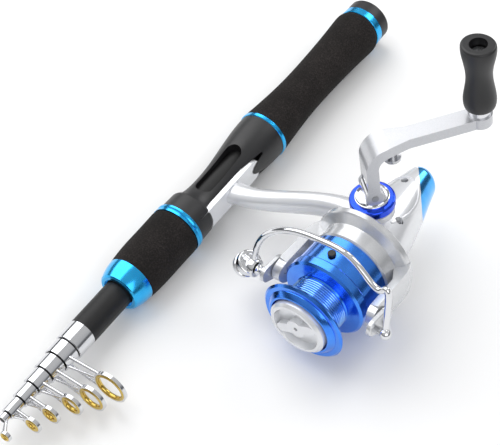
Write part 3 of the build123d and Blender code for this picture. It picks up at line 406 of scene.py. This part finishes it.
def cross_head(radius, height):
    """A screw's pan head with a cross recess, standing on z = 0, in millimetres."""
    deselect()
    bpy.ops.mesh.primitive_cylinder_add(vertices=40, radius=radius * MM, depth=height * MM)
    head = bpy.context.object
    bpy.ops.object.mode_set(mode="EDIT")
    select_faces(lambda place, normal: normal.z > LEVEL)
    bpy.ops.mesh.bevel(offset=HEAD_ROUND * height * MM, segments=4)
    bpy.ops.mesh.select_all(action="SELECT")
    bpy.ops.transform.translate(value=(0, 0, height / 2 * MM))
    bpy.ops.object.mode_set(mode="OBJECT")
    deselect()
    bpy.ops.mesh.primitive_cube_add(size=MM)
    cutter = bpy.context.object
    bpy.ops.object.mode_set(mode="EDIT")
    bpy.ops.mesh.select_all(action="SELECT")
    bpy.ops.transform.resize(value=(SLOT_L * radius, SLOT_W * radius, height))
    bpy.ops.transform.translate(value=(0, 0, SLOT_Z * height * MM))
    bpy.ops.mesh.duplicate()
    bpy.ops.transform.rotate(value=radians(90), orient_axis="Z", center_override=(0, 0, 0))
    bpy.ops.object.mode_set(mode="OBJECT")
    apply_modifier(head, "BOOLEAN", {"object": cutter, "operation": "DIFFERENCE", "use_self": True})
    bpy.data.objects.remove(cutter)
    return head


class ROD_OT_grips(bpy.types.Operator):
    """Foam grips, seat, hood, butt cap and trim rings"""

    bl_idname = "rod.grips"
    bl_label = "Grips and seat"

    def execute(self, context):
        paint(eva_foam(looks().foam), "rear_grip", "fore_grip")
        plastic = moulded_abs("seat_abs", looks().seat, 0.42)
        paint(plastic, "butt_cap", "reel_seat", "fore_hood", "fore_nut")
        blue = anodised("ring_anodised", looks().ring_blue, "#27aaec", 0.2)
        paint(blue, "butt_ring", "seat_ring", "nut_ring", "front_cone")
        return {"FINISHED"}


class ROD_OT_sections(bpy.types.Operator):
    """Blank, telescopic tubes, collars and guides"""

    bl_idname = "rod.sections"
    bl_label = "Sections and guides"

    def execute(self, context):
        count = sum(name.startswith("section_") for name in NODES)
        numbers = range(1, count + 1)
        paint(wound_blank(looks().blank), "blank", *(f"section_{n}" for n in numbers))
        paint(polished("chrome_plate", "#dadbde", 0.1), "ferrule", *(f"guide_{n}" for n in numbers))
        paint(polished("gold_plate", "#cdaf5a", 0.16), *(f"guide_insert_{n}" for n in numbers))
        return {"FINISHED"}


class ROD_OT_reel(bpy.types.Operator):
    """Housing, rotor, bail and handle"""

    bl_idname = "rod.reel"
    bl_label = "Reel"

    def execute(self, context):
        pearl = flake_paint("pearl_paint", looks().pearl, "#e3e5e8", 0.4, 0.26)
        paint(pearl, "reel_body", "side_cover", "drag_knob")
        paint(flake_paint("arm_silver", "#c6c7cb", "#bcbec2", 0.7, 0.36), "handle_arm")
        silver = flake_paint("rotor_paint", looks().rotor, "#cfd1d4", 0.6, 0.26)
        paint(silver, "rotor", "roller_lever", "wire_lever")
        paint(anodised("tail_anodised", "#46b0f4", "#3aa0ee", 0.14), "tail_cap")
        paint(anodised("collar_anodised", looks().collar_blue, "#1a44d0", 0.16), "crank_collar")
        bright = polished("bail_chrome", "#dfe0e3", 0.07)
        paint(bright, "bail_wire", "roller_cap", "line_roller", "handle_hub", "knob_collar")
        steel = polished("machined_steel", "#a7a9ab", 0.28)
        paint(steel, "main_shaft", "rotor_nut", "arm_pivot", "knob_pin")
        # Painted shade: the screws' node is near black and the heads set on it are smaller, so a dark ring
        # shows round each head where the recess lies in shade
        paint(polished("screw_well_painted_shade", "#3a3a3d", 0.3), "cover_screws")
        paint(steel, "crank_bearing", "journal_bearing", "rotor_bearing")
        paint(oiled_felt("#6b6357"), "drag_stack")
        paint(polished("gear_brass", "#c49a52", 0.26), "drive_gear", "pinion")
        soft = moulded_abs("knob_rubber", "#121214", 0.42)
        paint(soft, "knob", "stop_lever", "line_clip")
        return {"FINISHED"}


class ROD_OT_hoops(bpy.types.Operator):
    """Gold lips that roll over both faces of each guide's ring"""

    bl_idname = "rod.hoops"
    bl_label = "Guide lips"

    def execute(self, context):
        gold = polished("lip_gold", "#cfb360", 0.15)
        past_ring, past_face = 0.55, 0.25  # how far a lip stands out, in millimetres
        count = sum(name.startswith("guide_insert_") for name in NODES)
        for number in range(1, count + 1):
            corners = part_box(f"guide_insert_{number}")
            low, high = Vector(corners[0]), Vector(corners[1])
            middle = (low + high) / 2
            points = [vertex.co - middle for vertex in NODES[f"guide_insert_{number}"].data.vertices]
            spans = [(point.x**2 + point.z**2) ** 0.5 for point in points]
            inner, outer = min(spans), max(spans) + past_ring * MM
            minor = (outer - inner) / 2
            deselect()
            bpy.ops.mesh.primitive_torus_add(
                major_segments=72, minor_segments=16, major_radius=inner + minor, minor_radius=minor
            )
            piece = context.object
            bpy.ops.object.mode_set(mode="EDIT")
            bpy.ops.mesh.select_all(action="SELECT")
            bpy.ops.transform.resize(value=(1, 1, ((high.y - low.y) / 2 + past_face * MM) / minor))
            bpy.ops.object.mode_set(mode="OBJECT")
            place = Matrix.Translation(middle) @ ALONG_Y
            settle(piece, f"guide_lip_{number}", place, f"section_{number}", gold)
        return {"FINISHED"}


class ROD_OT_spool(bpy.types.Operator):
    """Spool finish, the ridges turned on its arbor and the raised lip round its drag knob"""

    bl_idname = "rod.spool"
    bl_label = "Spool"

    ridges: bpy.props.IntProperty(name="Ridges", description="Rings on the arbor", default=9, min=2)

    def execute(self, context):
        blue = anodised("spool_anodised", looks().spool_blue, "#3a85f3", 0.17, reel_axes)
        paint(blue, "spool")
        arbor_r, front_y, rear_y = 13.35, -56.4, -47.6
        pitch = (rear_y - front_y) / (self.ridges - 1)
        ridge_r = 0.4 * pitch * MM  # under half the pitch, so that a groove is left between two
        deselect()
        bpy.ops.mesh.primitive_torus_add(
            major_segments=96, minor_segments=10, major_radius=arbor_r * MM, minor_radius=ridge_r
        )
        piece = context.object
        bpy.ops.object.mode_set(mode="EDIT")
        bpy.ops.mesh.select_all(action="SELECT")
        for _ in range(self.ridges - 1):
            bpy.ops.mesh.duplicate()
            bpy.ops.transform.translate(value=(0, 0, pitch * MM))
        bpy.ops.object.mode_set(mode="OBJECT")
        place = AT_REEL @ Matrix.Translation((0, rear_y * MM, 0)) @ ALONG_Y
        # Painted highlight: the ridges take a paler blue than the spool, standing in for the light caught on
        # their crests
        ridge_highlight_paint = anodised("ridge_painted_highlight", "#8ec2ff", "#7fb6fb", 0.14, reel_axes)
        settle(piece, "arbor_ridges", place, "spool", ridge_highlight_paint)

        # The lip is a band of the flange's face, raised into a cone towards the knob
        flange_y, lip_base, lip_h = -60.7, 0.4, 2.2
        lip_out_r, lip_top_r, lip_in_r = 18.0, 16.0, 15.0
        deselect()
        bpy.ops.mesh.primitive_cylinder_add(vertices=120, radius=lip_out_r * MM, depth=lip_base * MM)
        piece = context.object
        bpy.ops.object.mode_set(mode="EDIT")
        select_faces(lambda place, normal: normal.z > LEVEL)
        bpy.ops.mesh.extrude_region_move(TRANSFORM_OT_translate={"value": (0, 0, lip_h * MM)})
        bpy.ops.transform.resize(value=(lip_top_r / lip_out_r, lip_top_r / lip_out_r, 1))
        bpy.ops.mesh.inset(thickness=(lip_top_r - lip_in_r) * MM)
        bpy.ops.mesh.delete(type="FACE")
        select_faces(lambda place, normal: normal.z < -LEVEL)
        bpy.ops.mesh.inset(thickness=(lip_out_r - lip_in_r) * MM)
        bpy.ops.mesh.delete(type="FACE")
        bpy.ops.mesh.select_mode(type="EDGE")
        bpy.ops.mesh.select_all(action="DESELECT")
        bpy.ops.mesh.select_non_manifold()
        bpy.ops.mesh.bridge_edge_loops()
        bpy.ops.mesh.select_all(action="SELECT")
        bpy.ops.mesh.normals_make_consistent(inside=False)
        bpy.ops.object.mode_set(mode="OBJECT")
        soften = {"width": 0.22 * MM, "segments": 3, "angle_limit": radians(25)}
        apply_modifier(piece, "BEVEL", soften)
        place = AT_REEL @ Matrix.Translation((0, flange_y * MM, 0)) @ ALONG_Y
        settle(piece, "spool_lip", place, "spool", blue)
        return {"FINISHED"}


class ROD_OT_roller(bpy.types.Operator):
    """Turned cover at the bail's roller, and the bail's chrome wire"""

    bl_idname = "rod.roller"
    bl_label = "Roller cover"

    radius: bpy.props.FloatProperty(name="Radius", description="In millimetres", default=5.9)
    length: bpy.props.FloatProperty(name="Length", description="In millimetres", default=7.6)

    def execute(self, context):
        edge_round, rim_w, dish_wall, dish_depth = 0.9, 1.1, 0.3, 0.45
        groove_half, groove_wall, groove_depth = 0.9, 0.25, 0.35
        past_ball = 4.6  # out from the middle of the ball
        lean = Vector((0.52, -0.05, 0.85))  # the cover's axis, set to the photograph
        swell = 0.4  # what the wire gains all round
        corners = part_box("roller_cap")
        ball = AT_REEL.inverted() @ ((Vector(corners[0]) + Vector(corners[1])) / 2)
        deselect()
        bpy.ops.mesh.primitive_cylinder_add(vertices=64, radius=self.radius * MM, depth=self.length * MM)
        piece = context.object
        bpy.ops.object.mode_set(mode="EDIT")
        select_faces(lambda place, normal: abs(normal.z) > LEVEL)
        bpy.ops.mesh.bevel(offset=edge_round * MM, segments=4)
        for end in (1, -1):
            select_faces(lambda place, normal: end * normal.z > DEAD_LEVEL)
            bpy.ops.mesh.inset(thickness=rim_w * MM)
            bpy.ops.mesh.inset(thickness=dish_wall * MM, depth=-dish_depth * MM)
        bpy.ops.mesh.select_all(action="SELECT")
        for station in (-groove_half, groove_half):
            bpy.ops.mesh.bisect(plane_co=(0, 0, station * MM), plane_no=(0, 0, 1))
            bpy.ops.mesh.select_all(action="SELECT")
        select_faces(lambda place, normal: abs(place.z) < groove_half * MM and abs(normal.z) < UPRIGHT)
        bpy.ops.mesh.inset(thickness=groove_wall * MM, depth=-groove_depth * MM)
        bpy.ops.object.mode_set(mode="OBJECT")
        outward = Vector((-past_ball * MM, 0, 0))
        leaning = Vector((0, 0, 1)).rotation_difference(lean).to_matrix().to_4x4()
        place = Matrix.Translation(AT_REEL @ (ball + outward)) @ leaning
        chrome = polished("roller_chrome", "#dcdde0", 0.09)
        settle(piece, "roller_cover", place, "bail", chrome)

        # The wire is a little stouter than its core: a copy of the node, merged and swollen
        wire = copy_of(NODES["bail_wire"])
        wire.parent = None
        activate(wire)
        bpy.ops.object.mode_set(mode="EDIT")
        bpy.ops.mesh.select_all(action="SELECT")
        bpy.ops.mesh.remove_doubles(threshold=MERGE)
        bpy.ops.object.mode_set(mode="OBJECT")
        apply_modifier(wire, "DISPLACE", {"strength": swell * MM, "mid_level": 0.0})
        plating = NODES["bail_wire"].data.materials[0]
        settle(wire, "bail_wire_chrome", Matrix(), "bail", plating)
        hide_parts("bail_wire")
        return {"FINISHED"}


class ROD_OT_arm(bpy.types.Operator):
    """Smooth face let into the trough of the handle's arm"""

    bl_idname = "rod.arm"
    bl_label = "Arm face"

    def execute(self, context):
        bend = radians(90) - ARM_CLIMB
        column_top = ARM_Z - ARM_RISE - ARM_BEND_R * tan(bend / 2)
        start_z = PIVOT_Z + TROUGH_ABOVE_PIVOT
        deselect()
        bpy.ops.mesh.primitive_plane_add(size=MM)
        piece = context.object
        bpy.ops.object.mode_set(mode="EDIT")
        bpy.ops.mesh.select_all(action="SELECT")
        bpy.ops.transform.resize(value=(ARM_HALF_T, ARM_TROUGH_W, 1))
        bpy.ops.transform.translate(value=(-ARM_HALF_T / 2 * MM, 0, start_z * MM))
        upward = (0, 0, (column_top - start_z) * MM)
        bpy.ops.mesh.extrude_region_move(TRANSFORM_OT_translate={"value": upward})
        centre = (ARM_BEND_R * MM, 0, column_top * MM)
        bpy.ops.mesh.spin(steps=24, angle=bend, center=centre, axis=(0, -1, 0))
        run = ARM_THROW - TROUGH_SHORT
        along = (run * cos(ARM_CLIMB) * MM, 0, run * sin(ARM_CLIMB) * MM)
        bpy.ops.mesh.extrude_region_move(TRANSFORM_OT_translate={"value": along})
        bpy.ops.mesh.select_all(action="SELECT")
        bpy.ops.mesh.remove_doubles(threshold=MERGE)
        bpy.ops.mesh.normals_make_consistent(inside=False)
        bpy.ops.object.mode_set(mode="OBJECT")
        settle(piece, "arm_face", AT_CRANK, "arm", NODES["handle_arm"].data.materials[0])
        return {"FINISHED"}


class ROD_OT_screws(bpy.types.Operator):
    """Cross-head screws on the bail's pivots and the side cover, and the lock screw under the arm"""

    bl_idname = "rod.screws"
    bl_label = "Screws"

    bail_screw_r: bpy.props.FloatProperty(name="Bail screw radius", description="In millimetres", default=2.7)
    lock_screw_r: bpy.props.FloatProperty(name="Lock screw radius", description="In millimetres", default=4.0)

    def execute(self, context):
        steel = polished("screw_steel", "#c4c5c8", 0.16)
        first = cross_head(self.bail_screw_r, BAIL_HEAD_H)
        for name, side in (("bail_screw_right", 1), ("bail_screw_left", -1)):
            turn = Matrix.Rotation(side * radians(90), 4, "Y")
            seat = Matrix.Translation((side * LEVER_FACE_X * MM, BAIL_PIVOT_Y * MM, 0))
            settle(copy_of(first), name, AT_REEL @ seat @ turn, "bail", steel)
        bpy.data.objects.remove(first)
        lock = cross_head(self.lock_screw_r, LOCK_HEAD_H)
        activate(lock)
        bpy.ops.object.mode_set(mode="EDIT")
        select_faces(lambda place, normal: normal.z < -LEVEL)
        bpy.ops.mesh.inset(thickness=LOCK_INSET * self.lock_screw_r * MM)
        bpy.ops.mesh.extrude_region_move(TRANSFORM_OT_translate={"value": (0, 0, -LOCK_SHANK * MM)})
        bpy.ops.object.mode_set(mode="OBJECT")
        over = Matrix.Translation((LOCK_OUT * MM, 0, LOCK_Z * MM)) @ Matrix.Rotation(radians(180), 4, "X")
        settle(lock, "arm_lock_screw", AT_CRANK @ over, "arm", steel)
        for index, (x, y) in enumerate(COVER_SCREWS, start=1):
            place = AT_REEL @ Matrix.Translation((x * MM, y * MM, COVER_SCREW_Z * MM))
            head = cross_head(COVER_HEAD_R, COVER_HEAD_H)
            settle(head, f"cover_screw_head_{index}", place, "rod", steel)
        return {"FINISHED"}


class ROD_OT_hub(bpy.types.Operator):
    """Dished chrome washer between the blue collar and the handle's hub"""

    bl_idname = "rod.hub"
    bl_label = "Hub washer"

    radius: bpy.props.FloatProperty(name="Radius", description="In millimetres", default=8.0)
    height: bpy.props.FloatProperty(name="Height", description="In millimetres", default=1.1)

    def execute(self, context):
        edge_round, rim_w = 0.45, 0.9
        dish_depth = 0.5 * self.height
        deselect()
        bpy.ops.mesh.primitive_cylinder_add(vertices=72, radius=self.radius * MM, depth=self.height * MM)
        piece = context.object
        bpy.ops.object.mode_set(mode="EDIT")
        select_faces(lambda place, normal: normal.z > LEVEL)
        bpy.ops.mesh.bevel(offset=edge_round * MM, segments=4)
        select_faces(lambda place, normal: normal.z > DEAD_LEVEL)
        bpy.ops.mesh.inset(thickness=rim_w * MM)
        bpy.ops.transform.translate(value=(0, 0, -dish_depth * MM))
        bpy.ops.object.mode_set(mode="OBJECT")
        place = AT_CRANK @ Matrix.Translation((0, 0, (COLLAR_TOP_Z + self.height / 2) * MM))
        chrome = polished("washer_chrome", "#e2e3e5", 0.08)
        settle(piece, "hub_washer", place, "crank", chrome)
        return {"FINISHED"}


class ROD_OT_cover(bpy.types.Operator):
    """Raised rib that follows the edge of the side cover"""

    bl_idname = "rod.cover"
    bl_label = "Cover rib"

    width: bpy.props.FloatProperty(name="Width", description="In millimetres", default=1.1)
    height: bpy.props.FloatProperty(name="Height", description="In millimetres", default=0.45)

    def execute(self, context):
        half_x, half_y, centre_x, centre_y = 11.6, 19.5, -1.6, 8.5
        above_cover, front_y, boss_z = 30, -3.5, 14
        deselect()
        bpy.ops.mesh.primitive_circle_add(vertices=160, radius=MM, fill_type="NGON")
        piece = context.object
        bpy.ops.object.mode_set(mode="EDIT")
        bpy.ops.mesh.select_all(action="SELECT")
        bpy.ops.transform.resize(value=(half_x, half_y, 1))
        bpy.ops.mesh.select_mode(type="FACE")
        bpy.ops.mesh.inset(thickness=self.width * MM)
        bpy.ops.mesh.delete(type="FACE")
        bpy.ops.mesh.select_all(action="SELECT")
        bpy.ops.transform.translate(value=(centre_x * MM, centre_y * MM, above_cover * MM))
        select_faces(lambda place, normal: place.y < front_y * MM)
        bpy.ops.mesh.delete(type="FACE")
        bpy.ops.object.mode_set(mode="OBJECT")
        piece.matrix_world = AT_REEL
        bpy.context.view_layer.update()
        wrap = {
            "target": NODES["side_cover"],
            "wrap_method": "PROJECT",
            "use_project_z": True,
            "use_negative_direction": True,
            "use_positive_direction": False,
        }
        apply_modifier(piece, "SHRINKWRAP", wrap)
        # What missed the cover, or climbed its boss, is cut away
        bpy.ops.object.mode_set(mode="EDIT")
        select_corners(lambda place: place.z > boss_z * MM)
        bpy.ops.mesh.delete(type="VERT")
        bpy.ops.object.mode_set(mode="OBJECT")
        apply_modifier(piece, "SOLIDIFY", {"thickness": self.height * MM, "offset": 0.6})
        soften = {"width": 0.16 * MM, "segments": 2, "angle_limit": radians(50)}
        apply_modifier(piece, "BEVEL", soften)
        settle(piece, "cover_rib", AT_REEL, "rod", NODES["side_cover"].data.materials[0])
        return {"FINISHED"}


class ROD_OT_stage(bpy.types.Operator):
    """Pale table, soft lights and the camera"""

    bl_idname = "rod.stage"
    bl_label = "Stage"

    def execute(self, context):
        scene = context.scene
        deselect()
        bpy.ops.mesh.primitive_plane_add(size=TABLE_SIZE, location=(0, 0, CAD_LOW.z))
        table = context.object
        table.name = "table"
        bpy.ops.object.transform_apply(location=True, rotation=True, scale=True)
        # Painted board, rolled matt: near white, with no gloss to mirror the part
        board = finish("pale_table", {"Base Color": linear("#f4f4f4"), "Roughness": 0.9})[0]
        table.data.materials.append(board)
        # A studio's white ceiling over grey walls, so that bright metal has something dark to show
        world = bpy.data.worlds.new("studio")
        scene.world = world
        world.use_nodes = True
        tree = world.node_tree
        direction = add_node(tree, "ShaderNodeTexCoord").outputs["Generated"]
        height = add_node(tree, "ShaderNodeSeparateXYZ", {}, {"Vector": direction}).outputs["Z"]
        walls = ((0.0, "#d2d3d5"), (0.1, "#8b8d90"), (0.24, "#85878a"), (0.42, "#e9eaec"), (0.8, "#ffffff"))
        backdrop = add_node(tree, "ShaderNodeValToRGB", {"stops": walls}, {"Fac": height})
        tree.links.new(tree.nodes["Background"].inputs["Color"], backdrop.outputs["Color"])
        tree.nodes["Background"].inputs["Strength"].default_value = SKY_STRENGTH
        # Lamps: place from the part's middle and size, in metres, then power
        middle = (CAD_LOW + CAD_HIGH) / 2
        for name, offset, size, watts in (
            ("key", Vector((-0.72, 0.12, 0.8)), 1.3, 10.5),
            ("fill", Vector((0.8, -0.6, 0.7)), 0.9, 4.0),
            ("back", Vector((0.2, 0.9, 0.6)), 0.5, 3.0),
        ):
            lamp = bpy.data.lights.new(name, "AREA")
            lamp.size = size
            lamp.energy = watts
            holder = bpy.data.objects.new(name, lamp)
            scene.collection.objects.link(holder)
            holder.location = middle + offset
            holder.rotation_euler = (-offset).to_track_quat("-Z", "Y").to_euler()
        view = scene.rod_view
        camera = bpy.data.cameras.new("camera")
        camera.lens = view.focal_px / IMAGE_W * SENSOR_MM
        camera.sensor_width = SENSOR_MM
        camera.clip_start = NEAREST_SEEN
        holder = bpy.data.objects.new("camera", camera)
        scene.collection.objects.link(holder)
        holder.location = view.place
        holder.rotation_euler = (radians(90) - view.elevation, 0, view.azimuth)
        scene.camera = holder
        scene.view_settings.view_transform = "Standard"
        return {"FINISHED"}


class ROD_PT_panel(bpy.types.Panel):
    """Lists the pieces in the sidebar"""

    bl_label = "Rod and reel"
    bl_idname = "ROD_PT_panel"
    bl_space_type = "VIEW_3D"
    bl_region_type = "UI"
    bl_category = "Rod"

    def draw(self, context):
        for operator in OPERATORS:
            self.layout.operator(operator.bl_idname)


OPERATORS = (
    ROD_OT_grips,
    ROD_OT_sections,
    ROD_OT_hoops,
    ROD_OT_reel,
    ROD_OT_spool,
    ROD_OT_roller,
    ROD_OT_arm,
    ROD_OT_screws,
    ROD_OT_hub,
    ROD_OT_cover,
    ROD_OT_stage,
)
CLASSES = (RodFinishes, RodView) + OPERATORS + (ROD_PT_panel,)


def register():
    for cls in CLASSES:
        bpy.utils.register_class(cls)
    bpy.types.Scene.rod_finishes = bpy.props.PointerProperty(type=RodFinishes)
    bpy.types.Scene.rod_view = bpy.props.PointerProperty(type=RodView)


def unregister():
    del bpy.types.Scene.rod_view
    del bpy.types.Scene.rod_finishes
    for cls in reversed(CLASSES):
        bpy.utils.unregister_class(cls)


def main():
    register()
    bpy.ops.rod.grips()
    bpy.ops.rod.sections()
    bpy.ops.rod.hoops()
    bpy.ops.rod.reel()
    bpy.ops.rod.spool()
    bpy.ops.rod.roller()
    bpy.ops.rod.arm()
    bpy.ops.rod.screws()
    bpy.ops.rod.hub()
    bpy.ops.rod.cover()
    bpy.ops.rod.stage()


if __name__ == "__main__":
    main()
